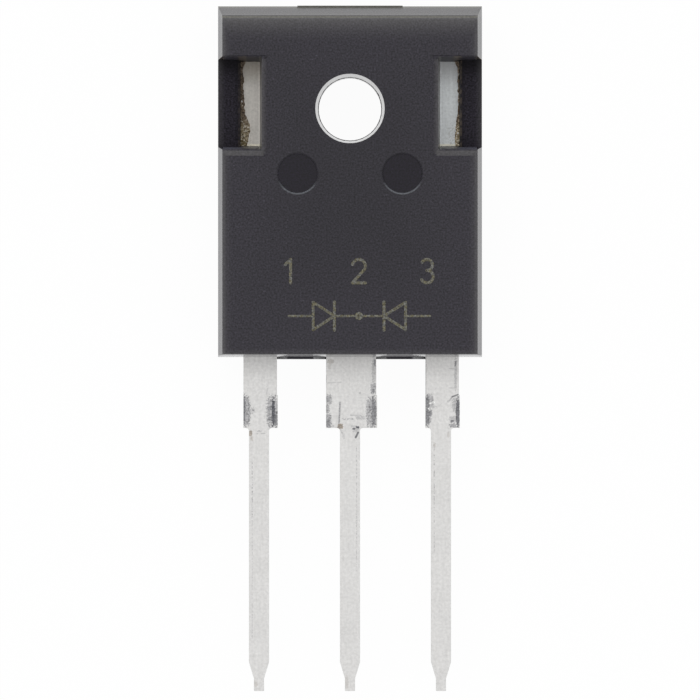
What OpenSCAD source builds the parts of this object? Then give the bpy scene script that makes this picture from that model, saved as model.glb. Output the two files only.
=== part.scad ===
// Dual rectifier diode in a three-lead, screw-mounted plastic power package.
// It lies on its cooling face: X runs across the leads, Y points away from them, Z towards the
// marked front face. The origin is the centre of the mounting hole, in the cooling face.
// All sizes are in millimetres.

/* [Moulded body] */
// Width of the body at the mould's parting plane
body_w = 15.8; // [15.2:0.05:16.4]
// Length of the body along the leads' direction
body_h = 21.0; // [20:0.05:22]
// Thickness from the cooling face to the front face
body_t = 5.0; // [4.7:0.05:5.4]
// Distance from the mounting hole's centre to the head end of the body
hole_to_head = 6.15; // [6:0.05:6.5]
// Slope of the two long sides above the parting plane, in degrees
side_draft = 8; // [4:0.5:10]
// Slope of the head end above the parting plane, in degrees
head_draft = 17.5; // [6:0.5:20]
// Slope of the foot end, where the leads come out, in degrees
foot_draft = 5; // [3:0.5:8]
// Slope of all four ends below the parting plane, in degrees
back_draft = 4; // [2:0.5:6]
// Radius of the front face's edge along the head end
head_edge_r = 0.35; // [0.1:0.05:0.5]
// Radius of the front face's other three edges
side_edge_r = 0.12; // [0.06:0.02:0.3]
// Width of the band where the front face falls away to the head end
head_crown_w = 0.8; // [0.2:0.1:1.2]
// Width of the band where the front face falls away to the other three edges
side_crown_w = 0.3; // [0.1:0.05:0.6]
// Radius of that gentle fall
crown_r = 15; // [8:1:30]

/* [Mounting hole] */
// Diameter of the straight land at the cooling face
hole_d = 3.75; // [3.5:0.05:3.9]
// Height of the straight land
hole_land = 2.4; // [1.5:0.1:3]
// Step out from the land, where the two core pins of the mould meet
hole_step = 0.02; // [0.02:0.01:0.1]
// Diameter of the hole's mouth in the front face
hole_mouth_d = 4.15; // [4.1:0.05:4.6]

/* [Side windows] */
// How far each window's floor reaches in from the body's side
window_reach = 2.5; // [2:0.05:2.8]
// Length of each window's floor along the body
window_h = 5.05; // [4:0.05:6]
// Distance of the windows' middle from the mounting hole's centre, towards the head end
window_rise = 0.33; // [0:0.01:0.6]
// Slope of the windows' long inner walls, in degrees
window_draft = 2.5; // [1:0.5:5]
// Slope of the windows' head and foot walls, in degrees
window_end_draft = 5; // [3:0.5:7]
// Width of the bevel along the inner and foot edges of each window's mouth
window_rim_w = 0.38; // [0.2:0.02:0.5]
// Width of the bevel along the head edge of each window's mouth
window_head_rim_w = 0.08; // [0.04:0.02:0.2]
// Depth of those bevels
window_rim_depth = 0.09; // [0.05:0.01:0.15]

/* [Ejector marks] */
// Diameter of each round mark left by the mould's ejector pins
ejector_d = 2.5; // [1.5:0.1:3]
// Depth of the marks
ejector_depth = 0.11; // [0.05:0.01:0.2]
// Width of the sloping wall round each mark
ejector_wall = 0.11; // [0.05:0.01:0.15]
// Distance between the two marks' centres
ejector_gap = 6.26; // [5:0.02:8]
// Distance of the marks from the mounting hole's centre, towards the leads
ejector_drop = 3.88; // [3.6:0.02:5]

/* [Gate and webs] */
// Width of the stub where the mould's gate was broken off
gate_w = 6.3; // [3:0.1:8]
// Thickness of the gate stub
gate_t = 0.5; // [0.3:0.05:0.8]
// How far the gate stub stands out of the head end
gate_out = 0.04; // [0.02:0.01:0.1]
// How far the webs between the leads stand out of the foot end
web_out = 0.13; // [0.05:0.01:0.3]
// Width of each web's flat crest
web_crest_w = 1.65; // [1:0.05:2.2]

/* [Heat spreader] */
// Width of resin beside the copper plate, on each side
tab_side = 1.3; // [1.1:0.05:1.6]
// Length of the copper plate
tab_h = 17.5; // [16:0.1:17.8]
// Thickness of the copper plate
tab_t = 2.0; // [1.8:0.05:2.2]
// Distance from the foot end of the body to the plate
tab_foot = 1.2; // [1:0.05:1.6]
// Resin between the mounting hole and the plate's opening round it
tab_slot_wall = 1.725; // [1.3:0.025:1.9]
// Width of the step along the plate's long edges that locks it into the resin
lock_step = 0.2; // [0.1:0.05:0.3]
// Height of that step above the cooling face
lock_height = 0.8; // [0.5:0.05:1.2]
// Width of the groove across the plate that stops moisture
groove_w = 0.4; // [0.2:0.05:0.6]
// Depth of the groove
groove_depth = 0.2; // [0.1:0.05:0.3]
// Distance of the groove from the mounting hole's centre
groove_drop = 4.6; // [4.4:0.1:5.2]

/* [Leads] */
// Distance between neighbouring leads
lead_pitch = 5.45; // [5.4:0.01:5.5]
// Thickness of the lead sheet
lead_t = 0.6; // [0.4:0.05:0.7]
// Height of the leads' back face above the cooling face
lead_back = 2.4; // [2.25:0.05:2.6]
// Length of the leads outside the body
lead_len = 20.0; // [15:0.1:21]
// Width of the leads' narrow part
lead_w = 1.2; // [1:0.05:1.4]
// Length of the wide shoulders outside the body
shoulder_len = 4.25; // [3.6:0.05:4.6]
// Width of the two outer leads' shoulders
outer_shoulder_w = 2.0; // [1.8:0.05:2.4]
// Width of the centre lead's shoulder
centre_shoulder_w = 3.0; // [2.8:0.05:3.3]
// Radius where the shoulder meets the narrow part
shoulder_r = 0.18; // [0.05:0.01:0.25]
// How far the shoulders sit to the right of the narrow parts, left by the trim tool
trim_shift = 0.07; // [0:0.01:0.1]
// Distance from the body to the cut stub of the tie bar
tie_bar_from = 2.28; // [1.8:0.02:2.8]
// How far that stub stands out on one side of each shoulder
tie_bar_stub = 0.05; // [0.02:0.01:0.12]
// Width of the leads' square ends
tip_w = 0.6; // [0.4:0.05:0.8]
// Length of the leads' square ends
tip_len = 0.74; // [0.4:0.02:1.2]
// Length of the taper before them
tip_taper = 1.0; // [0.5:0.05:1.5]
// Length of the bend that lifts the centre lead off the plate
link_run = 0.8; // [0.6:0.05:0.9]

/* [Bonding posts] */
// Resin between each bonding post and the side of the body
post_side = 0.6; // [0.4:0.05:0.8]
// How far each bonding post reaches from its lead's middle towards the centre lead
post_reach = 1.85; // [1.6:0.05:2]
// Length of each bonding post
post_h = 2.4; // [2:0.1:2.8]
// Distance from the foot end to the bonding posts
post_foot = 1.3; // [1:0.05:1.6]
// Diameter of the locking hole in the neck below each post
post_hole_d = 0.8; // [0.5:0.05:1]
// Distance from the foot end to that hole's centre
post_hole_foot = 1.55; // [1.4:0.05:1.8]

/* [Chips] */
// Side of each square silicon chip
die_side = 3.2; // [2.4:0.1:3.6]
// Thickness of the chips
die_t = 0.28; // [0.2:0.02:0.4]
// Distance of each chip's centre from the middle line
die_x = 2.8; // [2.4:0.1:3.2]
// Distance between the chips and the bonding posts
die_gap = 1.85; // [1.5:0.05:2.1]
// Thickness of the solder under each chip
solder_t = 0.06; // [0.04:0.01:0.1]
// How far the solder spreads past the chip on each side
solder_margin = 0.12; // [0.05:0.01:0.2]

/* [Bond wires] */
// Diameter of the aluminium bond wires
wire_d = 0.38; // [0.3:0.02:0.5]
// Wires from each chip to its lead
wire_count = 3; // [1:1:3]
// Distance between neighbouring wires on the chip
wire_gap_die = 0.9; // [0.7:0.05:1]
// Distance between neighbouring wires on the post
wire_gap_post = 1.05; // [0.8:0.05:1.1]
// Angle at which a wire leaves its flattened foot, in degrees
wire_lift = 50; // [40:1:55]
// Length of each flattened foot
foot_l = 0.9; // [0.7:0.05:1.1]
// Width of each flattened foot
foot_w = 0.5; // [0.42:0.02:0.6]
// Thickness of each flattened foot
foot_t = 0.16; // [0.14:0.01:0.2]

/* [Hidden] */
$fn = 64;
past = 1; // how far a cutting shape runs past the surface that it cuts
arc_steps = 4; // flat strips in each rounded edge

sides = ["left", "right"];
side_sign = [-1, 1];

head_y = hole_to_head;
foot_y = hole_to_head - body_h;
lead_front = lead_back + lead_t;
parting_z = lead_front;
tab_w = body_w - 2 * tab_side;
tab_slot_d = hole_d + 2 * tab_slot_wall;
tab_foot_y = foot_y + tab_foot;
post_foot_y = foot_y + post_foot;
post_y = post_foot_y + post_h / 2;
die_y = post_foot_y + post_h + die_gap + die_side / 2;
die_base = tab_t + solder_t;
die_top = die_base + die_t;

resin = "#3b393e";
tin = "#d8d7d5";
solder_grey = "#8f9296";
silicon = "#6f7686";
aluminium = "#c9ccd0";

// Extrudes a profile drawn as [across, up] along Y, about the middle of the span from y0 to y1
module along_y(y0, y1) {
    translate([0, y1, 0]) rotate([90, 0, 0]) linear_extrude(y1 - y0) children();
}

// Extrudes a profile drawn as [along Y, up] along X, from x0 to x1
module along_x(x0, x1) {
    translate([x0, 0, 0]) rotate([90, 0, 90]) linear_extrude(x1 - x0) children();
}

// Draws its children on both sides of the middle line
module on_both_sides() {
    children();
    mirror([1, 0, 0]) children();
}

// Points of one edge of the body as [outwards, up], from the flat of the front face out over the
// gentle crown and the rounded edge, down the drafted end to the parting plane at reach, and on
// to the cooling face
function edge_points(reach, draft, edge_r, crown_w) =
    let (
        crown_tilt = asin(crown_w / crown_r),
        end_tilt = 90 - draft,
        crown_drop = crown_r * (1 - cos(crown_tilt)),
        edge_drop = edge_r * (cos(crown_tilt) - cos(end_tilt)),
        edge_out = edge_r * (sin(end_tilt) - sin(crown_tilt)),
        end_drop = body_t - parting_z - crown_drop - edge_drop,
        edge_from = reach - end_drop * tan(draft) - edge_out,
        flat_to = edge_from - crown_w
    )
    concat(
        [for (i = [0 : arc_steps - 1]) let (t = crown_tilt * i / arc_steps)
            [flat_to + crown_r * sin(t), body_t - crown_r * (1 - cos(t))]],
        [for (i = [0 : arc_steps]) let (t = crown_tilt + (end_tilt - crown_tilt) * i / arc_steps)
            [edge_from + edge_r * (sin(t) - sin(crown_tilt)),
             body_t - crown_drop - edge_r * (cos(crown_tilt) - cos(t))]],
        [[reach, parting_z], [reach - parting_z * tan(back_draft), 0]]
    );

function turned_back(points) = [for (i = [len(points) - 1 : -1 : 0]) [-points[i][0], points[i][1]]];

// The block of resin before anything is cut from it: a lengthwise and a crosswise profile crossed
module body_block() {
    side = edge_points(body_w / 2, side_draft, side_edge_r, side_crown_w);
    head = edge_points(head_y, head_draft, head_edge_r, head_crown_w);
    foot = edge_points(-foot_y, foot_draft, side_edge_r, side_crown_w);
    intersection() {
        along_y(foot_y - past, head_y + past) polygon(concat(side, turned_back(side)));
        along_x(-body_w, body_w) polygon(concat(head, turned_back(foot)));
    }
}

// A pocket open at one side of the body. Its inner, foot and head walls stand past the window's
// floor outline by the three distances in low at z_low and by those in high at z_high
module window_pocket(z_low, low, z_high, high) {
    inner_x = body_w / 2 - window_reach;
    foot = window_rise - window_h / 2;
    head = window_rise + window_h / 2;
    intersection() {
        along_y(-body_h, body_h) polygon([
            [inner_x - low[0], z_low], [body_w, z_low],
            [body_w, z_high], [inner_x - high[0], z_high]
        ]);
        along_x(0, body_w) polygon([
            [foot - low[1], z_low], [head + low[2], z_low],
            [head + high[2], z_high], [foot - high[1], z_high]
        ]);
    }
}

// One side window: a pocket down to the copper plate, and beside the plate down to a ledge of resin
// at the parting plane, with a shallow bevel round its mouth
module side_window() {
    slopes = [tan(window_draft), tan(window_end_draft), tan(window_end_draft)];
    rim = [window_rim_w, window_rim_w, window_head_rim_w];
    rim_z = body_t - window_rim_depth;
    rim_start = (rim_z - tab_t) * slopes;
    top_z = body_t + past;
    ledge_x = tab_w / 2;
    ledge_foot_x = ledge_x - (parting_z - tab_t) * tan(window_draft);
    intersection() {
        window_pocket(tab_t, 0 * slopes, top_z, (top_z - tab_t) * slopes);
        along_y(-body_h, body_h) polygon([
            [0, tab_t], [ledge_foot_x, tab_t], [ledge_x, parting_z],
            [2 * body_w, parting_z], [2 * body_w, top_z], [0, top_z]
        ]);
    }
    window_pocket(rim_z, rim_start, body_t + window_rim_depth, rim_start + 2 * rim);
}

// The mounting hole: a straight land, a small step and a cone up to the mouth
module mounting_hole() {
    cone_low_d = hole_d + 2 * hole_step;
    cone_rate = (hole_mouth_d - cone_low_d) / (body_t - hole_land);
    translate([0, 0, -past]) cylinder(d = hole_d, h = hole_land + 2 * past);
    translate([0, 0, hole_land])
        cylinder(d1 = cone_low_d, d2 = hole_mouth_d + past * cone_rate,
                 h = body_t - hole_land + past);
}

// The shallow round mark of an ejector pin
module ejector_mark() {
    wall_rate = ejector_wall / ejector_depth;
    translate([ejector_gap / 2, -ejector_drop, body_t - ejector_depth])
        cylinder(d1 = ejector_d - 2 * ejector_wall, d2 = ejector_d + 2 * past * wall_rate,
                 h = ejector_depth + past);
}

// The stub of the broken gate, in the parting plane of the head end
module gate_stub() {
    stub_in = 0.5;
    stub_above = 0.15;
    translate([-gate_w / 2, head_y - stub_in, parting_z + stub_above - gate_t])
        cube([gate_w, stub_in + gate_out, gate_t]);
}

// The web of resin between the centre lead and an outer lead, as thick as the lead sheet
module foot_web() {
    web_in = 0.5;
    inner_x = centre_shoulder_w / 2;
    outer_x = lead_pitch - outer_shoulder_w / 2;
    mid_x = (inner_x + outer_x) / 2;
    along_y(foot_y - web_out, foot_y + web_in) polygon([
        [inner_x, lead_back], [outer_x, lead_back],
        [mid_x + web_crest_w / 2, lead_front], [mid_x - web_crest_w / 2, lead_front]
    ]);
}

// The resin body, moulded round everything that it holds
module moulded_body() {
    color(resin) difference() {
        union() {
            body_block();
            gate_stub();
            translate([trim_shift, 0, 0]) on_both_sides() foot_web();
        }
        on_both_sides() side_window();
        mounting_hole();
        on_both_sides() ejector_mark();
        cathode_tab();
        for (s = side_sign) {
            anode_lead(s);
            solder_pad(s);
            die(s);
            for (i = [0 : wire_count - 1]) bond_wire(s, i);
        }
    }
}

// Outline of a lead from inside the body to its tip, as [across, along Y] from the middle of its
// narrow part, with the cut stub of the tie bar on the right
function lead_outline(top_y, shoulder_w) =
    let (
        left_x = trim_shift - shoulder_w / 2,
        right_x = trim_shift + shoulder_w / 2,
        stub_x = right_x + tie_bar_stub,
        half_w = lead_w / 2,
        shoulder_y = foot_y - shoulder_len,
        stub_y = foot_y - tie_bar_from,
        end_y = foot_y - lead_len,
        square_y = end_y + tip_len,
        taper_y = square_y + tip_taper
    )
    concat(
        [[right_x, top_y], [left_x, top_y], [left_x, shoulder_y]],
        [for (i = [0 : arc_steps]) let (a = 90 - 90 * i / arc_steps)
            [-half_w - shoulder_r + shoulder_r * cos(a),
             shoulder_y - shoulder_r + shoulder_r * sin(a)]],
        [[-half_w, taper_y], [-tip_w / 2, square_y], [-tip_w / 2, end_y],
         [tip_w / 2, end_y], [tip_w / 2, square_y], [half_w, taper_y]],
        [for (i = [0 : arc_steps]) let (a = 180 - 90 * i / arc_steps)
            [half_w + shoulder_r + shoulder_r * cos(a),
             shoulder_y - shoulder_r + shoulder_r * sin(a)]],
        [[stub_x, shoulder_y], [stub_x, stub_y], [right_x, stub_y]]
    );

// The flat blade of a lead
module lead_blade(top_y, shoulder_w) {
    translate([0, 0, lead_back]) linear_extrude(lead_t) polygon(lead_outline(top_y, shoulder_w));
}

// The copper plate with its locking steps, the opening round the screw and the moisture groove
module tab_plate() {
    pad_w = tab_w - 2 * lock_step;
    difference() {
        union() {
            translate([-pad_w / 2, tab_foot_y, 0]) cube([pad_w, tab_h, tab_t]);
            translate([-tab_w / 2, tab_foot_y, lock_height]) cube([tab_w, tab_h, tab_t - lock_height]);
        }
        translate([0, 0, -past]) cylinder(d = tab_slot_d, h = tab_t + 2 * past);
        translate([-tab_slot_d / 2, 0, -past]) cube([tab_slot_d, body_h, tab_t + 2 * past]);
        along_x(-tab_w, tab_w) translate([-groove_drop, tab_t]) polygon([
            [-groove_w / 2, 0], [0, -groove_depth], [groove_w / 2, 0], [0, groove_depth]
        ]);
    }
}

// The bent strip that lifts the centre lead from the plate to the height of the other leads
module tab_link() {
    rise = lead_front - tab_t;
    bend = atan2(rise, link_run);
    setback = lead_t * tan(bend / 2);
    low_y = tab_foot_y;
    high_y = low_y - link_run;
    along_x(trim_shift - centre_shoulder_w / 2, trim_shift + centre_shoulder_w / 2) polygon([
        [low_y + setback, tab_t], [high_y + setback, lead_front],
        [foot_y, lead_front], [foot_y, lead_back],
        [high_y, lead_back], [low_y, tab_t - lead_t], [low_y + setback, tab_t - lead_t]
    ]);
}

// Heat spreader and centre lead, stamped and bent from one strip of copper: the shared cathode
module cathode_tab() {
    color(tin) union() {
        tab_plate();
        tab_link();
        lead_blade(foot_y, centre_shoulder_w);
    }
}

// An outer lead with its bonding post: one anode. side is -1 for the left one, 1 for the right
module anode_lead(side) {
    post_in = lead_pitch - post_reach;
    post_out = body_w / 2 - post_side;
    color(tin) difference() {
        union() {
            translate([side * lead_pitch, 0, 0])
                lead_blade(post_foot_y + shoulder_r, outer_shoulder_w);
            translate([min(side * post_in, side * post_out), post_foot_y, lead_back])
                cube([post_out - post_in, post_h, lead_t]);
        }
        translate([side * lead_pitch + trim_shift, foot_y + post_hole_foot, lead_back - past])
            cylinder(d = post_hole_d, h = lead_t + 2 * past);
    }
}

// The solder that joins a chip to the plate
module solder_pad(side) {
    pad = die_side + 2 * solder_margin;
    color(solder_grey) translate([side * die_x - pad / 2, die_y - pad / 2, tab_t])
        cube([pad, pad, solder_t]);
}

// One silicon chip
module die(side) {
    color(silicon) translate([side * die_x - die_side / 2, die_y - die_side / 2, die_base])
        cube([die_side, die_side, die_t]);
}

// The flattened foot of a bond wire, lying along X on the surface at the origin
module wire_foot() {
    straight = foot_l - foot_w;
    linear_extrude(foot_t) union() {
        square([straight, foot_w], center = true);
        translate([-straight / 2, 0]) circle(d = foot_w);
        translate([straight / 2, 0]) circle(d = foot_w);
    }
}

// One aluminium wire from a chip to its post, a round arc in an upright plane between two feet
module bond_wire(side, index) {
    spread = index - (wire_count - 1) / 2;
    from = [side * (die_x + spread * wire_gap_die), die_y - die_side / 8];
    to = [side * (lead_pitch + spread * wire_gap_post), post_y];
    run = norm(to - from);
    rise = lead_front - die_top;
    chord = norm([run, rise]);
    tilt = atan2(rise, run);
    arc_r = chord / (2 * sin(wire_lift));
    centre_x = run / 2 + arc_r * cos(wire_lift) * sin(tilt);
    centre_z = die_top + rise / 2 - arc_r * cos(wire_lift) * cos(tilt);
    color(aluminium) translate([from[0], from[1], 0])
        rotate([0, 0, atan2(to[1] - from[1], to[0] - from[0])]) union() {
            intersection() {
                translate([centre_x, 0, centre_z]) rotate([90, 0, 0])
                    rotate([0, 0, 90 + tilt - wire_lift])
                    rotate_extrude(angle = 2 * wire_lift) translate([arc_r, 0]) circle(d = wire_d);
                union() {
                    translate([-past, -past, die_top]) cube([past + run / 2, 2 * past, body_t]);
                    translate([run / 2, -past, lead_front]) cube([past + run / 2, 2 * past, body_t]);
                }
            }
            translate([0, 0, die_top]) wire_foot();
            translate([run, 0, lead_front]) wire_foot();
        }
}

moulded_body();
cathode_tab();
for (k = [0 : 1]) {
    anode_lead(side_sign[k]);
    solder_pad(side_sign[k]);
    die(side_sign[k]);
    for (i = [0 : wire_count - 1])
        bond_wire(side_sign[k], i);
}
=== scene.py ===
"""Looks of a dual rectifier diode in a three-lead power package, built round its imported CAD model.

The part lies on its cooling face and the camera looks straight down on the marked front. All
modelling is done with one unit to the millimetre. Each finished piece is then brought to metres.
"""
import math

import bpy
from mathutils import Matrix, Vector, noise


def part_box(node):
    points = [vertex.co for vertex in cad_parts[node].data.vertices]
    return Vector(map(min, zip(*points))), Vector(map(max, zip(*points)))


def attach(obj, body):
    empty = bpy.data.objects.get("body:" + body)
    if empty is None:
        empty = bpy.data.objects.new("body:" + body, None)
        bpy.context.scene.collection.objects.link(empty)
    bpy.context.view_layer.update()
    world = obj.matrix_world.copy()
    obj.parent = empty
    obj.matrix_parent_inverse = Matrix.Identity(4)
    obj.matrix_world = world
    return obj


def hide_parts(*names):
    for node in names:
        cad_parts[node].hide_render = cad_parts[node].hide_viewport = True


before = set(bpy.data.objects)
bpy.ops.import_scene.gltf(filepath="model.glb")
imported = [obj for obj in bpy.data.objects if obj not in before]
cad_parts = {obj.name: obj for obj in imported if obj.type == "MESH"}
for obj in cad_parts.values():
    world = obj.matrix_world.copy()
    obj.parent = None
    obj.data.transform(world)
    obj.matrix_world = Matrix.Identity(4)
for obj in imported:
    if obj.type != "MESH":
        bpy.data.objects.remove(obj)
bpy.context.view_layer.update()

# The frame's own sizes, in millimetres
METRE = 1000


def box_mm(node):
    """Lowest and highest corner of a CAD node, in millimetres."""
    return tuple(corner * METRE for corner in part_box(node))


FRONT_Z = box_mm("moulded_body")[1].z
PARTING_Z = box_mm("anode_lead_left")[1].z
PLATE_Z = box_mm("solder_left")[0].z

# Places that the frame's boxes don't give
FOOT_Y, HEAD_Y = -14.85, 6.15
MIDDLE_Y = (FOOT_Y + HEAD_Y) / 2
FACE_X, FACE_REACH_Y = 7.60, 10.2
INNER_WALL_X, OUTER_WALL_X = 5.44, 7.56
HOLE_R = 2.1
WINDOW_FOOT_Y, WINDOW_HEAD_Y = -2.195, 2.855
RIM_X, RIM_FOOT_Y, RIM_HEAD_Y = 4.89, -2.83, 3.19
PLATE_X, PLATE_FOOT_Y, PLATE_HEAD_Y = 6.6, -13.65, 3.85
LEDGE_X = 6.6
MARK_X, MARK_Y, MARK_R = 3.13, -3.88, 1.25
WEB_IN_X, WEB_OUT_X = 1.5, 4.45
CREST_IN_X, CREST_OUT_X = 2.25, 3.70
SHOULDER_END_Y = -19.1


# Shader maths

class Value:
    """A socket that carries a number, with the arithmetic that adds Math nodes to its shader."""

    def __init__(self, shader, socket):
        self.shader, self.socket = shader, socket

    def maths(self, operation, *others, clamp=False):
        settings = {"operation": operation, "use_clamp": clamp}
        return self.shader.node("ShaderNodeMath", settings, {0: self, **dict(enumerate(others, 1))})

    def __add__(self, other): return self.maths("ADD", other)
    def __sub__(self, other): return self.maths("SUBTRACT", other)
    def __mul__(self, other): return self.maths("MULTIPLY", other)
    def __truediv__(self, other): return self.maths("DIVIDE", other)
    def __pow__(self, other): return self.maths("POWER", other)
    def __neg__(self): return self.maths("MULTIPLY", -1)
    def __abs__(self): return self.maths("ABSOLUTE")
    def __rsub__(self, other): return (-self) + other
    __radd__, __rmul__ = __add__, __mul__

    def most(self, other): return self.maths("MAXIMUM", other)
    def clamped(self): return self.maths("ADD", 0, clamp=True)

    def rise(self, low, high):
        """0 below low and 1 above high, with a smooth step between them."""
        settings = {"interpolation_type": "SMOOTHSTEP"}
        return self.shader.node("ShaderNodeMapRange", settings, {"Value": self, "From Min": low,
                                                                 "From Max": high})

    def fall(self, low, high):
        """1 below low and 0 above high."""
        return 1 - self.rise(low, high)

    def between(self, low, high, soft):
        """1 from low to high, with soft edges outside them."""
        return self.rise(low - soft, low) * self.fall(high, high + soft)


class Shader:
    """The nodes of a material or of the world."""

    def __init__(self, owner):
        owner.use_nodes = True
        self.owner, self.tree = owner, owner.node_tree

    def raw(self, kind, settings=None, inputs=None):
        """Adds a node, sets its settings first and then its sockets, and returns it."""
        node = self.tree.nodes.new(kind)
        for key, value in (settings or {}).items():
            if key == "stops":
                ramp = node.color_ramp
                elements = list(ramp.elements) + [ramp.elements.new(0.5) for _ in value[2:]]
                for (place, colour), stop in zip(value, elements):
                    stop.position, stop.color = place, (*colour, 1)
            else:
                setattr(node, key, value)
        for key, value in (inputs or {}).items():
            self.feed(node.inputs[key], value)
        return node

    def feed(self, socket, value):
        """Links a value to a socket, or sets the socket to a number or colour."""
        if isinstance(value, Value):
            self.tree.links.new(value.socket, socket)
        elif isinstance(value, tuple) and socket.type == "RGBA":
            socket.default_value = (*value, 1)
        else:
            socket.default_value = value

    def node(self, kind, settings=None, inputs=None, output=0):
        """Adds a node and returns one of its outputs, ready for sums."""
        return Value(self, self.raw(kind, settings, inputs).outputs[output])

    def shown_white(self, strength):
        """How far a surface shows as white: by strength to the camera, whole in reflections."""
        path = self.raw("ShaderNodeLightPath")
        camera, glossy, through = (Value(self, path.outputs[name]) for name in (
            "Is Camera Ray", "Is Glossy Ray", "Is Transmission Ray"))
        return (camera * strength + glossy + through).clamped()

    def end_with(self, surface):
        """Makes a shader the surface of the material or of the world."""
        output = next(node for node in self.tree.nodes if "OUTPUT" in node.type)
        self.feed(output.inputs["Surface"], surface)


class Finish(Shader):
    """A piece's material: one Principled shader, with its patterns laid out in millimetres."""

    def __init__(self, name):
        super().__init__(bpy.data.materials.new(name))
        self.surface = self.tree.nodes["Principled BSDF"]
        place = self.node("ShaderNodeTexCoord", output="Object")
        self.mm = self.node("ShaderNodeVectorMath", {"operation": "SCALE"},
                            {0: place, "Scale": METRE})
        split = self.raw("ShaderNodeSeparateXYZ", inputs={0: self.mm})
        self.x, self.y, self.z = (Value(self, socket) for socket in split.outputs)

    def grain(self, scale, detail=2, rough=0.5, stretch=(1, 1, 1), seed=0):
        """Noise from 0 to 1 whose scale is in grains to the millimetre."""
        place = self.node("ShaderNodeMapping", {"vector_type": "POINT"},
                          {"Vector": self.mm, "Location": (seed, seed, seed), "Scale": stretch})
        return self.node("ShaderNodeTexNoise", {"noise_dimensions": "3D"},
                         {"Vector": place, "Scale": scale, "Detail": detail, "Roughness": rough})

    def mix(self, factor, first, second):
        """The first colour where the factor is 0, the second where it is 1."""
        return self.node("ShaderNodeMix", {"data_type": "RGBA"},
                         {0: factor, 6: first, 7: second}, output=2)

    def tint(self, colour, brightness):
        """A colour whose brightness is multiplied by a value."""
        return self.node("ShaderNodeVectorMath", {"operation": "SCALE"},
                         {0: colour, "Scale": brightness})

    def bump(self, height, depth_mm):
        return self.node("ShaderNodeBump", inputs={"Height": height, "Distance": depth_mm / METRE})

    def finish(self, **inputs):
        """Sets the Principled sockets, named with underscores for their spaces."""
        for key, value in inputs.items():
            self.feed(self.surface.inputs[key.replace("_", " ")], value)
        return self.owner

    def disc(self, x, y, radius, soft):
        """1 inside a circle of the front view, fading to 0 over soft millimetres at its edge."""
        across, along = self.x - x, self.y - y
        return (across * across + along * along).fall((radius - soft) ** 2, (radius + soft) ** 2)


# Materials

RESIN = (0.0192, 0.0175, 0.0232)
# Painted highlight colour for the resin's lit edges, rims and head wall
RESIN_HIGHLIGHT = (0.116, 0.113, 0.114)
# Painted highlight colour, olive, for the lines along the head edges
RESIN_OLIVE_HIGHLIGHT = (0.150, 0.146, 0.120)
# Painted reflection of the lit plate on the window walls
RESIN_PLATE_REFLECTION = (0.128, 0.124, 0.114)
# Painted bluish sheen on the window foot wall over the ledge
RESIN_PAINTED_SHEEN = (0.072, 0.072, 0.094)
RESIN_BROWN = (0.092, 0.074, 0.056)
RESIN_DEEP = (0.0066, 0.0050, 0.0100)
RESIN_LEDGE = (0.0172, 0.0150, 0.0212)
# Painted highlight colour for the foot side of the ejector marks' rims
RESIN_MARK_RIM_HIGHLIGHT = (0.105, 0.111, 0.124)
# Painted grey highlight colour for the web ends and the foot wall above them
RESIN_WEB_HIGHLIGHT = (0.330, 0.330, 0.338)


def ejector_marks(s):
    """The floors of the two round ejector marks, and a painted highlight on the foot side of their
    rims.
    """
    def both(radius):
        return s.disc(MARK_X, MARK_Y, radius, 0.02).most(s.disc(-MARK_X, MARK_Y, radius, 0.02))

    on_front = s.z.rise(4.7, 4.8)
    floors = both(MARK_R - 0.08) * s.z.fall(4.90, 4.96) * on_front
    rims = (both(MARK_R + 0.01) * on_front - floors).clamped()
    return floors, rims * s.along.fall(MARK_Y - 1.0, MARK_Y - 0.35)


def face_colour(s):
    """The face, with painted light: lighter towards its edges, with painted highlights on its edges
    and window rims, most of all where it falls away to the head end.
    """
    cloud = s.grain(0.5, detail=2, seed=3)
    speck = s.grain(5.2, detail=1, seed=11).rise(0.70, 0.80)
    # Painted light: the face grows lighter towards its edges.
    wide = (s.side / FACE_X).most(abs(s.along - MIDDLE_Y) / FACE_REACH_Y).rise(0.25, 1.0)
    light = (s.fine * 2.7 - 0.32).most(0.2) * (0.93 + cloud * 0.14) + speck * 0.9
    light = light * (1 + wide * 0.30)
    mark_floors, mark_rims = ejector_marks(s)
    colour = s.mix(mark_floors, s.tint(RESIN, light), s.tint(RESIN_DEEP, light))

    # Painted highlights: the crown falling to the head end, the side and foot edges, and the foot
    # and side rims of the windows.
    head_fall = ((s.along - 3.8) / 1.65).clamped()
    head_edge = head_fall * head_fall * 0.72 * s.z.rise(4.45, 4.7)
    side_edge = s.side.rise(7.0, 7.4) * 0.12 + s.side.rise(7.35, OUTER_WALL_X) * 0.33
    foot_edge = s.along.fall(-14.62, -14.30) * 0.16 + s.along.fall(-14.68, -14.58) * 0.12
    side_rim = ((s.side - 4.91) / 0.36).clamped() * s.side.fall(5.28, 5.34)
    side_rim = side_rim * s.along.between(-2.70, 2.9, 0.08) * 0.40
    foot_rim = s.side.between(5.2, OUTER_WALL_X, 0.08) * s.along.between(-2.80, -2.54, 0.05) * 0.52
    rims = side_rim.most(foot_rim) * s.z.rise(4.80, 4.88)
    painted_highlights = head_edge.most((side_edge + foot_edge) * s.on_face).most(rims)
    colour = s.mix(painted_highlights, colour, s.rubbed)
    # Painted highlight on the foot side of the ejector marks' rims.
    return s.mix(mark_rims, colour, s.tint(RESIN_MARK_RIM_HIGHLIGHT, 0.3 + s.fine * 1.4))


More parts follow.
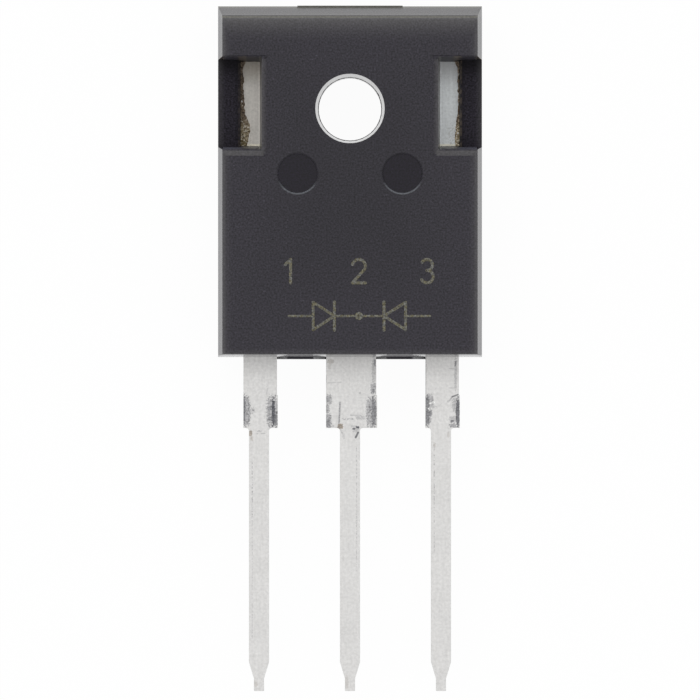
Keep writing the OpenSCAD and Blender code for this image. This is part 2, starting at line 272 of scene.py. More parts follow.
def head_end(s, colour):
    """The head wall, lighter with a painted highlight, and an olive painted highlight along its two
    edges.
    """
    # Painted highlight over the head wall.
    wall = s.along.rise(5.50, 5.54) * s.z.between(3.0, 4.86, 0.02)
    colour = s.mix(wall * 0.45, colour, s.rubbed)
    # Painted highlight lines, olive, along the face edge and the parting line at the head.
    parting_line = s.along.rise(6.02, 6.06) * s.z.rise(2.97, 3.0)
    face_line = s.along.between(5.44, 5.495, 0.03) * s.z.rise(4.45, 4.7)
    olive = face_line.most(parting_line * 0.8) * 0.75
    return s.mix(olive, colour, s.tint(RESIN_OLIVE_HIGHLIGHT, 0.5 + s.fine))


def window_walls(s, colour):
    """The side windows' walls: a painted reflection of the lit plate on them, a painted bluish sheen
    over the ledge, brown at the corners.

    The second value is the gloss of the inner wall, which mirrors the plate to the camera.
    """
    low_wall = s.in_window * s.z.between(2.1, 4.86, 0.04)
    inner_wall = low_wall * s.side.fall(INNER_WALL_X, INNER_WALL_X + 0.04)
    foot_wall = low_wall * s.along.fall(-2.16, -2.10)
    foot_wall = foot_wall * s.side.rise(INNER_WALL_X - 0.04, INNER_WALL_X)
    over_metal = s.side.fall(LEDGE_X - 0.3, LEDGE_X)
    # Painted reflection of the lit plate on the inner wall and on the foot wall over the metal.
    painted_plate_light = (inner_wall * 0.36).most(foot_wall * over_metal * s.z.fall(3.5, 4.3))
    right = s.x.rise(-1, 1)
    reflection_tone = s.tint(RESIN_PLATE_REFLECTION, (0.4 + s.fine * 1.2) * (1 + right * 0.30))
    colour = s.mix(painted_plate_light * 0.9, colour, reflection_tone)
    # Painted bluish sheen on the foot wall over the ledge.
    over_ledge = foot_wall * (1 - over_metal) * 0.9
    colour = s.mix(over_ledge, colour, s.tint(RESIN_PAINTED_SHEEN, 0.5 + s.fine))

    corners = s.side.rise(7.40, 7.62) * s.along.between(2.95, 3.12, 0.06) * s.z.rise(3.1, 3.3)
    head_stain = s.side.between(6.25, 6.62, 0.12) * s.along.between(2.86, 3.12, 0.03)
    stains = (corners * 0.7).most(head_stain * 0.8) * s.skin
    return s.mix(stains, colour, RESIN_BROWN), inner_wall * 0.23


def foot_end(s, colour):
    """The foot wall, glossier than the face, with a painted grey highlight at the ends of the webs.

    The other values are the wall's gloss, and where the middle of each web stays dull.
    """
    between_leads = s.side.between(WEB_IN_X, WEB_OUT_X, 0.03)
    crest = s.side.between(CREST_IN_X, CREST_OUT_X, 0.12)
    # Painted highlight: a grey band on the foot wall just above the webs, and on the web ends beside
    # the leads.
    wall_highlight = s.along.between(-14.785, -14.735, 0.030) * s.skin * 0.22 * s.z.rise(3.05, 3.10)
    web_end_highlight = wall_highlight.most(s.along.between(-14.96, -14.87, 0.01))
    web_ends = between_leads * (1 - crest) * web_end_highlight
    colour = s.mix(web_ends, colour, s.tint(RESIN_WEB_HIGHLIGHT, 0.7 + s.fine * 0.6))

    dull = s.grain(6, detail=2, seed=23).rise(0.35, 0.55)
    shine = 0.82 - s.along.fall(-14.80, -14.76) * dull * 0.35
    gloss = s.along.fall(-14.775, -14.725) * s.z.between(3.01, 4.85, 0.02) * shine
    gloss = gloss * (1 - between_leads * crest)
    return colour, gloss, between_leads * crest * s.along.fall(-14.65, -14.60)


def resin_material():
    """Near-black filled epoxy: matt face from an eroded mould, glossier drafts, polished hole."""
    s = Finish("near_black_resin")
    s.side, s.along = abs(s.x), s.y
    s.fine = s.grain(9, detail=1, rough=0.6)
    s.skin = s.grain(4, detail=3, seed=7).rise(0.35, 0.60)
    # The colour of the painted highlights on the resin's edges, rims and head wall.
    s.rubbed = s.tint(RESIN_HIGHLIGHT, 0.60 + s.fine * 0.80)
    s.on_face = s.z.rise(4.90, 4.96)
    s.in_window = s.side.between(4.95, OUTER_WALL_X, 0.05)
    s.in_window = s.in_window * s.along.between(RIM_FOOT_Y - 0.03, RIM_HEAD_Y, 0.02)
    s.in_window = s.in_window * s.z.rise(1.9, 1.98)
    in_hole = s.disc(0, 0, HOLE_R + 0.02, 0.01)

    colour = head_end(s, face_colour(s))
    colour, wall_gloss = window_walls(s, colour)
    colour, foot_gloss, dull_crests = foot_end(s, colour)

    rough = 0.20 + s.on_face * 0.20 + s.in_window * 0.30 + s.fine * 0.06
    rough = rough + s.side.rise(OUTER_WALL_X, OUTER_WALL_X + 0.06) * 0.03
    rough = rough * (1 - in_hole * 0.55) + dull_crests * 0.20
    cooling_face = s.z.fall(0.0, 0.01) * 0.2
    height = s.fine * (0.25 + s.on_face * 0.75) * (1 - in_hole)
    return s.finish(Base_Color=colour, Roughness=rough + cooling_face, Specular_IOR_Level=0.28,
                    Coat_Weight=foot_gloss.most(wall_gloss), Normal=s.bump(height, 0.006))


def ledge_material():
    """The ledge beside the plate in the side windows: deeper, duller resin with a coarse grain, with
    painted shade towards the window's head wall, darker next to the plate, and a painted highlight
    on its outer lip.
    """
    s = Finish("window_ledge_resin")
    side = abs(s.x)
    fine = s.grain(9, detail=1, rough=0.6)
    cloud = s.grain(1.2, detail=2, seed=3)
    light = (fine * 3.4 - 0.70).most(0.15) * (0.85 + cloud * 0.3)
    # Painted shade towards the window's head wall; the ledge is also darker next to the plate.
    light = light * (1 - s.y.rise(1.8, 2.8) * 0.6) * (1 - side.fall(6.70, 6.95) * 0.3)
    skin = s.grain(4, detail=3, seed=7).rise(0.35, 0.60)
    stain = side.fall(6.64, 6.74) * skin * (0.35 + s.x.rise(-1, 1) * 0.45)
    # Painted highlight on the rounded outer lip of the ledge.
    colour = s.mix(side.rise(7.40, 7.92) * 0.24, s.tint(RESIN_LEDGE, light), RESIN_HIGHLIGHT)
    colour = s.mix(stain, colour, RESIN_BROWN)
    return s.finish(Base_Color=colour, Roughness=0.55, Specular_IOR_Level=0.10,
                    Normal=s.bump(fine, 0.006))


TIN = (0.620, 0.614, 0.605)
MARK_AND_GLINT_TONES = {
    "grey": (0.330, 0.328, 0.335),
    "brown": (0.300, 0.262, 0.220),
    "dark": (0.118, 0.120, 0.132),
    # painted glints: bright lines laid on the leads as highlights
    "bright": (0.640, 0.640, 0.630),
}


def tin_material(name, marks=(), window=None):
    """Matt tin plating with rolling grain, painted shade close to the body, and the marks that the
    trim tool left on this lead, with painted glints among them.
    """
    s = Finish(name)
    mottle = s.grain(6.0, detail=3, rough=0.6)
    roll = s.grain(9, detail=2, stretch=(1, 0.08, 1), seed=5)
    cloud = s.grain(0.9, detail=2, seed=2)
    s.ragged = s.grain(10, detail=2, rough=0.6, seed=31).rise(0.32, 0.68)
    s.dots = s.grain(8, detail=1, seed=4)
    blotch = s.grain(9, detail=2, seed=17).rise(0.30, 0.70)
    shoulder = s.y.rise(SHOULDER_END_Y - 0.3, SHOULDER_END_Y + 0.3)
    light = 1 + (mottle - 0.5) * (0.42 + shoulder * 0.10) + (roll - 0.5) * 0.14
    light = light + (cloud - 0.5) * 0.10
    # Painted shade: the tin darkens slightly where it comes close to the body.
    body_shade = s.y.rise(-16.6, -15.6) * 0.025
    colour = s.tint(TIN, light * (1 - body_shade))
    if window:
        shade, tone = window(s, light)
        colour = s.mix(shade, colour, tone)
    rough = 0.42 + mottle * 0.10
    height = mottle * 0.6 + roll * 0.4
    for tone, shade in MARK_AND_GLINT_TONES.items():
        masks = [mask(s) for kind, mask in marks if kind == tone]
        if masks:
            whole = masks[0]
            for mask in masks[1:]:
                whole = whole.most(mask)
            colour = s.mix(whole, colour, s.tint(shade, 0.60 + blotch * 0.80))
            if tone != "bright":
                rough = rough + whole * 0.08
                height = height - whole * 0.7
    return s.finish(Base_Color=colour, Metallic=1.0, Roughness=rough.clamped(),
                    Normal=s.bump(height, 0.004))


def patch(kind, x, y, half_w, half_h, strength):
    """A ragged patch of the front view, given by its middle and half its sides."""
    def mask(s):
        across, along = abs((s.x - x) / half_w), abs((s.y - y) / half_h)
        edge = (1.0 - across ** 3 - along ** 3) * 1.3 + (s.ragged - 0.5) * 1.4
        return edge.rise(0.0, 0.5) * strength
    return kind, mask


def line(kind, start, end, width, strength, dotted=False):
    """A straight scratch between two points of the front view, broken up where it is dotted."""
    (x0, y0), (x1, y1) = start, end
    run_x, run_y = x1 - x0, y1 - y0

    def mask(s):
        along = ((s.x - x0) * run_x + (s.y - y0) * run_y) / (run_x ** 2 + run_y ** 2)
        along = along.clamped()
        off_x, off_y = s.x - x0 - along * run_x, s.y - y0 - along * run_y
        shown = (off_x * off_x + off_y * off_y).fall((width * 0.25) ** 2, (width * 0.75) ** 2)
        shown = shown * strength
        return shown * s.dots.rise(0.42, 0.58) if dotted else shown
    return kind, mask


LEFT_MARKS = [
    patch("grey", -6.201, -18.113, 0.245, 0.988, 0.92),
    patch("dark", -6.347, -18.013, 0.085, 0.988, 0.62),
    patch("grey", -5.841, -18.054, 0.165, 0.210, 0.35),
    patch("dark", -5.781, -18.036, 0.075, 0.060, 0.45),
    patch("grey", -4.656, -18.143, 0.362, 1.018, 0.85),
    patch("dark", -4.593, -18.173, 0.108, 0.868, 0.95),
    patch("dark", -4.419, -18.563, 0.090, 0.479, 0.60),
    patch("dark", -4.823, -17.934, 0.105, 0.150, 0.40),
    patch("dark", -4.823, -18.533, 0.075, 0.150, 0.50),
    line("grey", (-5.018, -17.096), (-4.928, -16.766), 0.084, 0.35),
    line("grey", (-5.617, -19.281), (-5.168, -19.299), 0.078, 0.70, dotted=True),
    line("grey", (-5.587, -19.431), (-5.108, -19.431), 0.072, 0.50, dotted=True),
    patch("brown", -5.958, -19.416, 0.120, 0.195, 0.80),
    patch("brown", -5.877, -19.730, 0.081, 0.150, 0.40),
    line("grey", (-5.856, -21.078), (-5.856, -24.610), 0.054, 0.75, dotted=True),
    line("grey", (-5.856, -24.610), (-5.856, -31.796), 0.048, 0.40, dotted=True),
    patch("brown", -5.647, -34.401, 0.120, 0.210, 0.25),
]
CENTRE_MARKS = [
    patch("grey", -1.275, -17.380, 0.210, 0.314, 0.75),
    patch("dark", -1.350, -17.365, 0.135, 0.180, 0.30),
    patch("grey", -1.356, -17.964, 0.129, 0.299, 0.80),
    patch("grey", -1.290, -18.682, 0.195, 0.479, 0.90),
    patch("dark", -1.317, -18.817, 0.150, 0.254, 0.35),
    patch("grey", -1.051, -19.009, 0.105, 0.069, 0.50),
    patch("grey", 1.281, -18.158, 0.341, 0.973, 0.80),
    patch("dark", 1.431, -18.113, 0.150, 0.988, 0.55),
    patch("dark", 1.195, -17.934, 0.075, 0.150, 0.40),
    patch("grey", 1.395, -16.736, 0.180, 0.359, 0.80),
    patch("dark", 1.395, -16.871, 0.066, 0.135, 0.50),
    patch("grey", 1.425, -15.628, 0.138, 0.838, 0.50),
    patch("dark", 1.479, -15.194, 0.072, 0.195, 0.60),
    patch("grey", -1.431, -16.167, 0.048, 0.240, 0.50),
    line("grey", (-0.593, -17.575), (-0.665, -18.862), 0.096, 0.85),
    patch("brown", -0.593, -18.994, 0.192, 0.156, 0.90),
    patch("dark", -0.671, -19.060, 0.066, 0.066, 0.50),
    line("grey", (-0.587, -19.161), (-0.377, -19.581), 0.084, 0.40),
    patch("grey", -0.371, -19.587, 0.096, 0.174, 0.22),
    line("grey", (-0.437, -18.581), (0.186, -18.563), 0.096, 0.85, dotted=True),
    line("grey", (0.042, -18.335), (0.641, -18.359), 0.072, 0.50),
    patch("grey", 0.605, -18.473, 0.305, 0.132, 0.45),
    patch("grey", 0.237, -19.009, 0.225, 0.069, 0.45),
    patch("dark", 0.234, -19.149, 0.120, 0.060, 0.80),
    patch("dark", 0.449, -19.060, 0.096, 0.078, 0.95),
    patch("grey", 0.344, -19.161, 0.213, 0.210, 0.50),
    line("dark", (0.485, -19.377), (0.341, -19.664), 0.108, 0.85),
    patch("brown", -1.156, -15.119, 0.210, 0.150, 0.35),
    patch("brown", -1.216, -15.359, 0.090, 0.210, 0.20),
    patch("grey", 0.596, -17.015, 0.063, 0.057, 0.45),
    line("grey", (-1.305, -16.395), (-0.557, -16.371), 0.072, 0.25),
    line("grey", (0.401, -20.179), (0.401, -23.413), 0.054, 0.65, dotted=True),
    line("grey", (0.401, -23.413), (0.389, -27.724), 0.048, 0.45, dotted=True),
    patch("brown", -0.198, -34.371, 0.120, 0.419, 0.22),
]
RIGHT_MARKS = [
    patch("grey", 4.743, -17.380, 0.269, 0.314, 0.80),
    patch("grey", 4.772, -17.742, 0.299, 0.198, 0.60),
    patch("grey", 4.677, -18.398, 0.204, 0.494, 0.75),
    patch("dark", 4.611, -18.101, 0.162, 1.024, 0.60),
    patch("dark", 4.805, -18.203, 0.123, 0.210, 0.60),
    patch("dark", 4.653, -17.739, 0.120, 0.105, 0.40),
    # Painted glints: two bright lines laid over the trim marks as highlights
    line("bright", (4.749, -17.628), (5.042, -17.557), 0.078, 0.90),
    line("bright", (4.713, -17.940), (4.916, -17.880), 0.078, 0.90),
    line("grey", (4.772, -17.748), (5.192, -17.820), 0.072, 0.45),
    patch("dark", 6.461, -18.158, 0.120, 0.943, 0.85),
    patch("grey", 6.305, -17.739, 0.216, 0.464, 0.62),
    patch("grey", 6.195, -18.593, 0.284, 0.240, 0.50),
    patch("dark", 6.141, -18.703, 0.111, 0.081, 0.70),
    patch("grey", 6.165, -18.964, 0.254, 0.126, 0.85),
    line("dark", (6.461, -17.101), (6.120, -17.233), 0.084, 0.75),
    line("grey", (6.120, -17.233), (5.958, -17.473), 0.072, 0.65),
    patch("grey", 5.862, -17.515, 0.060, 0.072, 0.45),
    patch("grey", 6.323, -15.838, 0.078, 1.048, 0.55),
    patch("dark", 6.323, -15.224, 0.054, 0.165, 0.50),
    line("grey", (5.946, -15.539), (6.359, -15.569), 0.066, 0.40),
    line("grey", (5.910, -16.706), (6.317, -16.706), 0.066, 0.35),
    line("grey", (4.545, -14.850), (4.545, -17.125), 0.066, 0.40),
    line("grey", (5.042, -20.119), (5.042, -23.413), 0.054, 0.70, dotted=True),
    line("grey", (5.042, -23.413), (5.048, -26.587), 0.048, 0.50, dotted=True),
    patch("brown", 5.895, -19.491, 0.087, 0.180, 0.22),
    patch("brown", 5.054, -20.119, 0.090, 0.150, 0.30),
]


def window_metal(s, light):
    """The plate where it shows in the side windows: yellowed on the left, bluish on the right,
    darker than the open leads from tarnish and painted shade, with painted shade towards the
    window's head wall and painted highlights along its inner edge and at its foot.
    """
    side = abs(s.x)
    inside = side.rise(5.2, 5.3) * s.z.between(1.95, 2.03, 0.02) * s.y.between(-2.4, 3.0, 0.05)
    right = s.x.rise(-1, 1)
    streak = s.grain(7, detail=2, stretch=(1, 0.15, 1), seed=13)
    crystal = s.grain(11, detail=1, seed=19)
    # Painted shade of the window's head wall, darkening the plate towards the head end.
    head_wall_shade = s.y.rise(0.9, 2.9) * (0.38 - right * 0.07)
    # Painted highlights: a light line along the plate's inner edge and a glow near the window's
    # foot.
    edge_highlight = side.fall(5.47, 5.53) * 0.16
    foot_highlight = s.y.fall(-1.9, -1.4) * 0.12 + s.y.fall(-2.16, -2.02) * 0.14
    crumbs = s.ragged.rise(0.55, 0.8) * s.y.fall(-1.2, -0.5) * side.rise(5.6, 6.0)
    crumbs = crumbs * (0.26 + right * 0.02)
    light = light * (0.80 + streak * 0.22 + crystal * 0.18)
    light = light * (1 - head_wall_shade) * (1 + edge_highlight + foot_highlight)
    # The plate colours are darker than the open tin: partly tarnish, partly painted shade of the
    # window walls.
    plate = s.mix(right, (0.492, 0.472, 0.440), (0.565, 0.586, 0.592))
    head_tint = s.mix(right, (0.497, 0.460, 0.405), (0.565, 0.574, 0.580))
    tone = s.tint(s.mix(s.y.rise(1.4, 2.6), plate, head_tint), light)
    # Painted highlight: a warm yellowish glow at the window's foot end.
    tone = s.mix(s.y.fall(-2.14, -2.03) * 0.6, tone, s.tint((0.700, 0.665, 0.520), light))
    return inside, s.mix(crumbs, tone, (0.190, 0.165, 0.115))


def bleed_material():
    """Resin that bled over the plate's edge: dark brown crumbs, with golden facets at the foot, and
    painted glints on the crumbs.
    """
    s = Finish("amber_resin_bleed")
    cell = s.node("ShaderNodeTexVoronoi", {"feature": "F1"},
                  {"Vector": s.mm, "Scale": 13.0, "Randomness": 1.0}, output="Color")
    pick = s.raw("ShaderNodeSeparateColor", inputs={0: cell})
    choice, sparkle = Value(s, pick.outputs[0]), Value(s, pick.outputs[1])
    foot = s.y.fall(-1.45, -0.35)
    brown = s.node("ShaderNodeValToRGB", {"stops": [
        (0.0, (0.075, 0.052, 0.036)), (0.5, (0.190, 0.136, 0.094)),
        (0.85, (0.320, 0.240, 0.168)), (1.0, (0.520, 0.440, 0.330))]}, {0: choice})
    gold = s.node("ShaderNodeValToRGB", {"stops": [
        (0.0, (0.090, 0.060, 0.027)), (0.4, (0.230, 0.168, 0.072)),
        (0.75, (0.500, 0.410, 0.255)), (1.0, (0.860, 0.770, 0.600))]}, {0: choice})
    rust = s.y.between(-0.12, 0.28, 0.06) * s.x.rise(-1, 1) * 0.8
    colour = s.mix(foot, s.mix(rust, brown, (0.110, 0.058, 0.026)), gold)
    end_gold = s.y.fall(-1.95, -1.75) * s.x.fall(-1, 1) * 0.6
    colour = s.mix(end_gold, colour, (0.150, 0.110, 0.028))
    # Painted glints: bright crumbs, many at the foot and few elsewhere.
    painted_crumb_glint = sparkle.rise(0.97 - foot * 0.19, 0.99 - foot * 0.16)
    colour = s.mix(painted_crumb_glint, colour, (0.84, 0.77, 0.64))
    colour = s.tint(colour, 1 + s.x.rise(-1, 1) * 0.35)
    return s.finish(Base_Color=colour, Roughness=0.42 + choice * 0.3, Specular_IOR_Level=0.35,
                    Normal=s.bump(s.grain(16, detail=3), 0.01))


def marking_material():
    """Laser-burnt resin: a dull olive grey, finely speckled."""
    s = Finish("laser_marking")
    speckle = s.grain(9, detail=2, rough=0.7).rise(0.30, 0.70)
    hue = s.grain(5, detail=1, seed=9).rise(0.35, 0.65)
    tone = s.mix(hue, (0.118, 0.108, 0.070), (0.128, 0.128, 0.118))
    return s.finish(Base_Color=s.tint(tone, 0.42 + speckle * 1.30), Roughness=0.75,
                    Specular_IOR_Level=0.2, Normal=s.bump(speckle, 0.006))


def hidden_material(name, colour, metallic, roughness, scale, stretch=(1, 1, 1)):
    """A piece sealed in the resin: its own colour, mottled, with a fine bump."""
    s = Finish(name)
    mottle = s.grain(scale, detail=3, stretch=stretch)
    return s.finish(Base_Color=s.tint(colour, 0.8 + mottle * 0.4), Metallic=metallic,
                    Roughness=roughness, Normal=s.bump(mottle, 0.003))


# Modelling by hand, in millimetres

def only(piece):
    """Leaves one object selected and active, in object mode."""
    if bpy.context.object and bpy.context.object.mode != "OBJECT":
        bpy.ops.object.mode_set(mode="OBJECT")
    bpy.ops.object.select_all(action="DESELECT")
    piece.select_set(True)
    bpy.context.view_layer.objects.active = piece


def merged_copy(node, name):
    """A copy of a CAD node as one clean shell: its loose triangles merged, its flat faces whole."""
    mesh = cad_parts[node].data.copy()
    mesh.transform(Matrix.Scale(METRE, 4))
    mesh.materials.clear()
    piece = bpy.data.objects.new(name, mesh)
    bpy.context.collection.objects.link(piece)
    only(piece)
    bpy.ops.object.mode_set(mode="EDIT")
    bpy.ops.mesh.select_all(action="SELECT")
    bpy.ops.mesh.remove_doubles(threshold=0.0001)
    bpy.ops.mesh.dissolve_limited(angle_limit=math.radians(0.5))
    bpy.ops.object.mode_set(mode="OBJECT")
    return piece


def bevel_edges(piece, wanted, width, segments=2):
    """Bevels the sharp edges whose middle passes the test wanted."""
    only(piece)
    bpy.ops.object.mode_set(mode="EDIT")
    bpy.ops.mesh.select_mode(type="EDGE")
    bpy.ops.mesh.select_all(action="DESELECT")
    bpy.ops.mesh.edges_select_sharp(sharpness=math.radians(28))
    bpy.ops.object.mode_set(mode="OBJECT")
    corners = piece.data.vertices
    for edge in piece.data.edges:
        ends = [corners[i].co for i in edge.vertices]
        edge.select = edge.select and wanted((ends[0] + ends[1]) / 2)
    bpy.ops.object.mode_set(mode="EDIT")
    bpy.ops.mesh.bevel(offset=width, segments=segments, profile=0.5, affect="EDGES",
                       clamp_overlap=True)
    bpy.ops.object.mode_set(mode="OBJECT")


def smooth(piece, angle, crisp=None):
    """Smooth shading up to an angle, with the large faces kept flat and the crisp edges sharp."""
    only(piece)
    bpy.ops.object.shade_smooth_by_angle(angle=math.radians(angle))
    if crisp:
        corners = piece.data.vertices
        for edge in piece.data.edges:
            if all(crisp(corners[i].co) for i in edge.vertices):
                edge.use_edge_sharp = True
    bpy.ops.object.modifier_add(type="WEIGHTED_NORMAL")
    piece.modifiers[-1].keep_sharp = True
    piece.modifiers[-1].weight = 100
    bpy.ops.object.modifier_apply(modifier=piece.modifiers[-1].name)


def settle(piece, material, slot, *nodes):
    """Brings a finished piece to metres, gives it its finish and hands it to the frame."""
    if nodes:
        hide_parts(*nodes)
    piece.data.transform(Matrix.Scale(1 / METRE, 4))
    piece.data.materials.clear()
    piece.data.materials.append(material)
    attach(piece, "root")
    return piece


# Pieces

def on_skin(point):
    """Whether a point of the resin is on its outside, clear of the hole and of the metal pieces."""
    x, y, z = abs(point.x), point.y, point.z
    on_front = z > FRONT_Z - 0.4
    on_ends = y > PLATE_HEAD_Y + 0.1 or y < PLATE_FOOT_Y - 0.4
    on_sides = x > 7.4
    in_window = x > RIM_X - 0.05 and RIM_FOOT_Y - 0.05 < y < RIM_HEAD_Y + 0.05
    at_lead = y < FOOT_Y + 0.3 and PARTING_Z - 0.61 < z < PARTING_Z + 0.01 and x < 6.6
    at_plate = (z < PLATE_Z + 0.01 and x < PLATE_X + 0.05
                and PLATE_FOOT_Y - 0.05 < y < PLATE_HEAD_Y + 0.05)
    if at_lead or at_plate or math.hypot(point.x, y) < HOLE_R + 0.1:
        return False
    return on_front or on_ends or on_sides or in_window


def on_parting_line(point):
    return abs(point.z - PARTING_Z) < 0.005


def on_ledge(point):
    return LEDGE_X - 0.02 < abs(point.x) and WINDOW_FOOT_Y - 0.3 < point.y < WINDOW_HEAD_Y + 0.3


def make_body():
    body = merged_copy("moulded_body", "resin_body")
    bevel_edges(body, on_skin, 0.03)
    smooth(body, 26, on_parting_line)
    ledges = [face.index for face in body.data.polygons
              if on_parting_line(face.center) and on_ledge(face.center) and face.normal.z > 0.9]
    settle(body, resin_material(), "resin", "moulded_body")
    body.data.materials.append(ledge_material())
    for index in ledges:
        body.data.polygons[index].material_index = 1
    return body


def outside_leads(point):
    return point.y < FOOT_Y - 0.05


def make_leads():
    """The plate with its centre lead, and the two outer leads, with the soft edges of stampings."""
    stampings = [
        ("cathode_tab", "heat_spreader_and_centre_lead",
         tin_material("tin_centre", CENTRE_MARKS, window_metal)),
        ("anode_lead_left", "left_lead", tin_material("tin_left", LEFT_MARKS)),
        ("anode_lead_right", "right_lead", tin_material("tin_right", RIGHT_MARKS)),
    ]
    for node, name, material in stampings:
        piece = merged_copy(node, name)
        bevel_edges(piece, outside_leads, 0.035)
        smooth(piece, 30)
        settle(piece, material, "tinned_copper", node)


# How far from the middle line the bleed reaches inwards over the plate in each window, from the
# window's foot end to its head end
BLEED_INNER = {
    "left": [6.19, 6.10, 6.02, 5.98, 6.13, 6.29, 6.32, 6.32, 6.37, 6.41, 6.34, 6.42, 6.42, 6.25],
    "right": [6.30, 6.29, 6.31, 6.35, 6.37, 6.46, 6.48, 6.48, 6.48, 6.47, 6.45, 6.47, 6.44, 6.28],
}
BLEED_OUTER = 6.597
BLEED_ACROSS, BLEED_ALONG = 14, 130


def make_bleed(name, sign, material):
    """The crumbly skin of resin that bled over the plate's edge in one window."""
    reach = BLEED_INNER[name]
    bpy.ops.object.select_all(action="DESELECT")
    bpy.ops.mesh.primitive_grid_add(x_subdivisions=BLEED_ACROSS, y_subdivisions=BLEED_ALONG,
                                    size=1, location=(0, 0, 0))
    piece = bpy.context.object
    piece.name = piece.data.name = f"{name}_window_bleed"
    for vertex in piece.data.vertices:
        across, along = vertex.co.x + 0.5, vertex.co.y + 0.5
        y = WINDOW_FOOT_Y + along * (WINDOW_HEAD_Y - WINDOW_FOOT_Y)
        step = along * (len(reach) - 1)
        near = min(int(step), len(reach) - 2)
        inner = reach[near] + (reach[near + 1] - reach[near]) * (step - near)
        inner += 0.07 * noise.noise(Vector((sign * 3, y * 5.0, 1)))
        x = inner + across * (BLEED_OUTER - inner)
        hump = min(1.0, 16 * across * (1 - across))
        crumbs = abs(noise.fractal(Vector((sign * x * 9, y * 9, 5)), 1.0, 2.0, 3))
        vertex.co = (sign * x, y, PLATE_Z + 0.004 + hump * (0.010 + 0.05 * crumbs))
    only(piece)
    bpy.ops.object.mode_set(mode="EDIT")
    bpy.ops.mesh.select_all(action="SELECT")
    bpy.ops.mesh.extrude_region_move(TRANSFORM_OT_translate={"value": (0, 0, -0.02)})
    bpy.ops.transform.resize(value=(1, 1, 0), center_override=(0, 0, PLATE_Z - 0.01))
    bpy.ops.mesh.select_all(action="SELECT")
    bpy.ops.mesh.normals_make_consistent(inside=False)
    bpy.ops.object.mode_set(mode="OBJECT")
    bpy.ops.object.shade_smooth_by_angle(angle=math.radians(35))
    return settle(piece, material, "resin")


# Laser marking: every stroke is (points, width)
MARK_PROUD = 0.004
END_TURNS = (30, 60, 84)


def rounded(points, width):
    """The points and half widths of a stroke, with more points that round its two ends."""
    (x0, y0), (x1, y1) = points[:2]
    start = math.atan2(y0 - y1, x0 - x1)
    (x2, y2), (x3, y3) = points[-2:]
    end = math.atan2(y3 - y2, x3 - x2)
    half = width / 2
    caps = []
    for (x, y), turn in ((points[0], start), (points[-1], end)):
        caps.append([(x + half * math.sin(a) * math.cos(turn),
                      y + half * math.sin(a) * math.sin(turn),
                      half * math.cos(a)) for a in map(math.radians, END_TURNS)])
    return caps[0][::-1] + [(x, y, half) for x, y in points] + caps[1]


def make_strokes(name, strokes, material):
    """Laser strokes: each one a round line along its points, pressed flat on the front face."""
    curve = bpy.data.curves.new(name, "CURVE")
    curve.dimensions = "3D"
    curve.bevel_depth = 1
    curve.bevel_resolution = 2
    curve.use_fill_caps = True
    for points, width in strokes:
        stroke = rounded(points, width)
        drawn = curve.splines.new("POLY")
        drawn.points.add(len(stroke) - 1)
        for point, (x, y, half) in zip(drawn.points, stroke):
            point.co = (x, y, 0, 1)
            point.radius = half
    piece = bpy.data.objects.new(name, curve)
    bpy.context.collection.objects.link(piece)
    only(piece)
    bpy.ops.object.convert(target="MESH")
    piece = bpy.context.object
    tallest = max(vertex.co.z for vertex in piece.data.vertices)
    piece.data.transform(Matrix.Translation((0, 0, FRONT_Z))
                         @ Matrix.Diagonal((1, 1, MARK_PROUD / tallest, 1)))
    return settle(piece, material, "resin")


def arc(x, y, radius, start, end, steps=14):
    """Points of a round stretch of a stroke, with its angles in degrees."""
    turns = [math.radians(start + (end - start) * i / steps) for i in range(steps + 1)]
    return [(x + radius * math.cos(turn), y + radius * math.sin(turn)) for turn in turns]


SYMBOL_Y = -12.40
NODE_X = 0.53
DIODE_TALL, BAR_TALL = 0.82, 0.84
WIRE_STROKE, BAR_STROKE, SIDE_STROKE = 0.14, 0.19, 0.18


def diode(base_x, bar_x):
    """Strokes of one diode: a triangle from its base to a point on the bar."""
    low, high = SYMBOL_Y - DIODE_TALL, SYMBOL_Y + DIODE_TALL
    corners = [(base_x, low), (base_x, high), (bar_x, SYMBOL_Y)]
    sides = [([corners[i], corners[(i + 1) % 3]], SIDE_STROKE) for i in range(3)]
    return sides + [([(bar_x, SYMBOL_Y - BAR_TALL), (bar_x, SYMBOL_Y + BAR_TALL)], BAR_STROKE)]


def make_symbol(material):
    """The circuit symbol: two diodes that point at a shared middle terminal."""
    left_base, left_bar, right_bar, right_base = -2.20, -0.93, 2.03, 3.32
    runs = [(-3.66, left_base), (left_bar, right_bar), (right_base, 4.78)]
    strokes = [([(start, SYMBOL_Y), (end, SYMBOL_Y)], WIRE_STROKE) for start, end in runs]
    strokes += diode(left_base, left_bar) + diode(right_base, right_bar)
    strokes.append((arc(NODE_X, SYMBOL_Y, 0.16, 0, 350, 20), 0.18))
    return make_strokes("circuit_symbol", strokes, material)


DIGIT_FOOT_Y, DIGIT_TALL, DIGIT_WIDE, DIGIT_STROKE = -10.42, 1.40, 0.78, 0.19


def digit_strokes(digit):
    """Runs of points of a plain engraved figure 1, 2 or 3, from its lower left corner."""
    wide, tall = DIGIT_WIDE, DIGIT_TALL
    bowl = wide / 2
    if digit == 1:
        top = (0.5 * wide, tall)
        return [[(0.1 * wide, 0.78 * tall), top], [top, (0.5 * wide, 0)]]
    if digit == 2:
        hook = arc(bowl, tall - bowl, bowl, 165, -35)
        return [hook, [hook[-1], (0, 0)], [(0, 0), (wide, 0)]]
    upper, lower = tall * 0.235, tall * 0.265
    return [arc(bowl, tall - upper, upper, 150, -90), arc(bowl, lower, lower, 90, -150)]


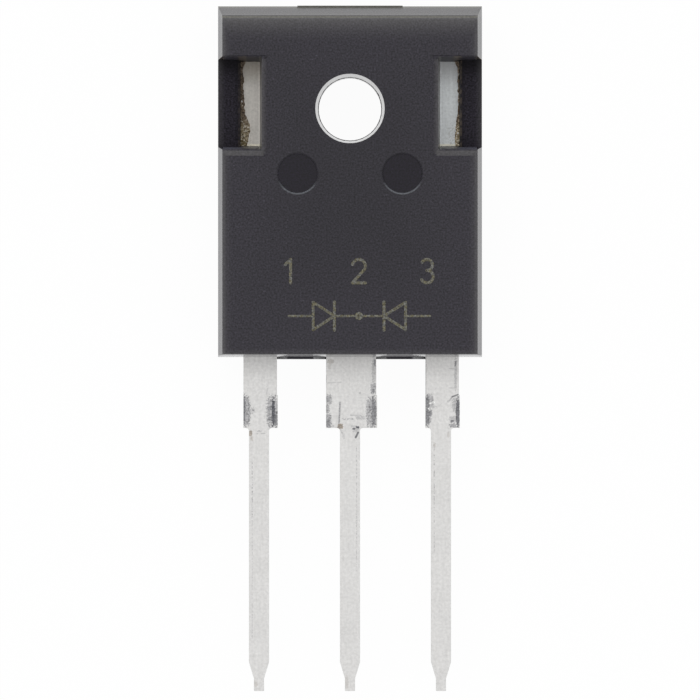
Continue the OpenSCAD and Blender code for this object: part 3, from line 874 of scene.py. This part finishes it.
def make_numbers(material):
    """Plain pin numbers above the symbol's three terminals."""
    strokes = []
    for digit, middle in ((1, -3.55), (2, NODE_X), (3, 4.60)):
        left = middle - DIGIT_WIDE / 2
        strokes += [([(left + x, DIGIT_FOOT_Y + y) for x, y in run], DIGIT_STROKE)
                    for run in digit_strokes(digit)]
    return make_strokes("pin_numbers", strokes, material)


# Stage, lights and camera

CAMERA_Z = 782.7
FRAME_WIDE = 41.92
FRAME_MIDDLE_Y = -14.43
SENSOR = 36
FLOOR_WHITE = 0.96
FLOOR_GAP = 0.02
ROOM_LIGHT = 0.70


def make_floor():
    """A white table top: it shows as white, and still takes a part of the object's shadow.

    It lies a hair under the cooling face, so that the two don't fight, and is clear from below.
    """
    bpy.ops.mesh.primitive_plane_add(size=6, location=(0, 0, 0))
    floor = bpy.context.object
    floor.name = "table_top"
    floor.data.transform(Matrix.Translation((0, 0, -FLOOR_GAP / METRE)))
    s = Shader(bpy.data.materials.new("white_table"))
    paint = s.node("ShaderNodeBsdfDiffuse", inputs={"Color": (0.96, 0.96, 0.96)})
    white = s.node("ShaderNodeEmission")
    top = s.node("ShaderNodeMixShader", inputs={0: s.shown_white(FLOOR_WHITE), 1: paint, 2: white})
    underside = s.node("ShaderNodeNewGeometry", output="Backfacing")
    clear = s.node("ShaderNodeBsdfTransparent")
    s.end_with(s.node("ShaderNodeMixShader", inputs={0: underside, 1: top, 2: clear}))
    floor.data.materials.append(s.owner)


def make_world():
    """Even white surroundings, dimmer as light than they look."""
    world = bpy.data.worlds.new("white_room")
    bpy.context.scene.world = world
    s = Shader(world)
    light = s.node("ShaderNodeBackground", inputs={"Color": (1, 1, 1), "Strength": ROOM_LIGHT})
    white = s.node("ShaderNodeBackground", inputs={"Color": (1, 1, 1)})
    s.end_with(s.node("ShaderNodeMixShader", inputs={0: s.shown_white(1), 1: light, 2: white}))


def make_lamp(name, place_mm, size_mm, brightness):
    """A square soft box aimed at the middle of the part. brightness is that of its own surface."""
    place = Vector(place_mm)
    aim = Vector((0, FRAME_MIDDLE_Y, 0)) - place
    bpy.ops.object.light_add(type="AREA", location=place / METRE)
    lamp = bpy.context.object
    lamp.name = name
    lamp.rotation_euler = aim.to_track_quat("-Z", "Y").to_euler()
    lamp.data.shape = "SQUARE"
    lamp.data.size = size_mm / METRE
    lamp.data.energy = brightness * 4 * lamp.data.size ** 2
    lamp.visible_camera = False


def make_camera():
    bpy.ops.object.camera_add(location=(0, FRAME_MIDDLE_Y / METRE, CAMERA_Z / METRE),
                              rotation=(0, 0, 0))
    camera = bpy.context.object
    camera.data.sensor_width = SENSOR
    camera.data.lens = SENSOR * (CAMERA_Z - PARTING_Z) / FRAME_WIDE
    camera.data.clip_start, camera.data.clip_end = 0.01, 20
    bpy.context.scene.camera = camera


make_camera()
make_body()
make_leads()
bleed = bleed_material()
make_bleed("left", -1, bleed)
make_bleed("right", 1, bleed)
marking = marking_material()
make_symbol(marking)
make_numbers(marking)

HIDDEN = {
    "solder": hidden_material("dull_solder", (0.27, 0.28, 0.29), 1.0, 0.5, 3),
    "die": hidden_material("metallised_silicon", (0.15, 0.17, 0.22), 0.6, 0.35, 1.2),
    "bond": hidden_material("drawn_aluminium", (0.60, 0.62, 0.65), 1.0, 0.38, 6, (1, 0.2, 1)),
}
for node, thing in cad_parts.items():
    finish = HIDDEN.get(node.split("_")[0])
    if finish:
        thing.data.materials.clear()
        thing.data.materials.append(finish)

make_floor()
make_world()
make_lamp("key_box", (-160, 560, 540), 700, 1.2)
make_lamp("fill_box", (420, -420, 560), 500, 0.5)
bpy.context.scene.view_settings.view_transform = "Standard"
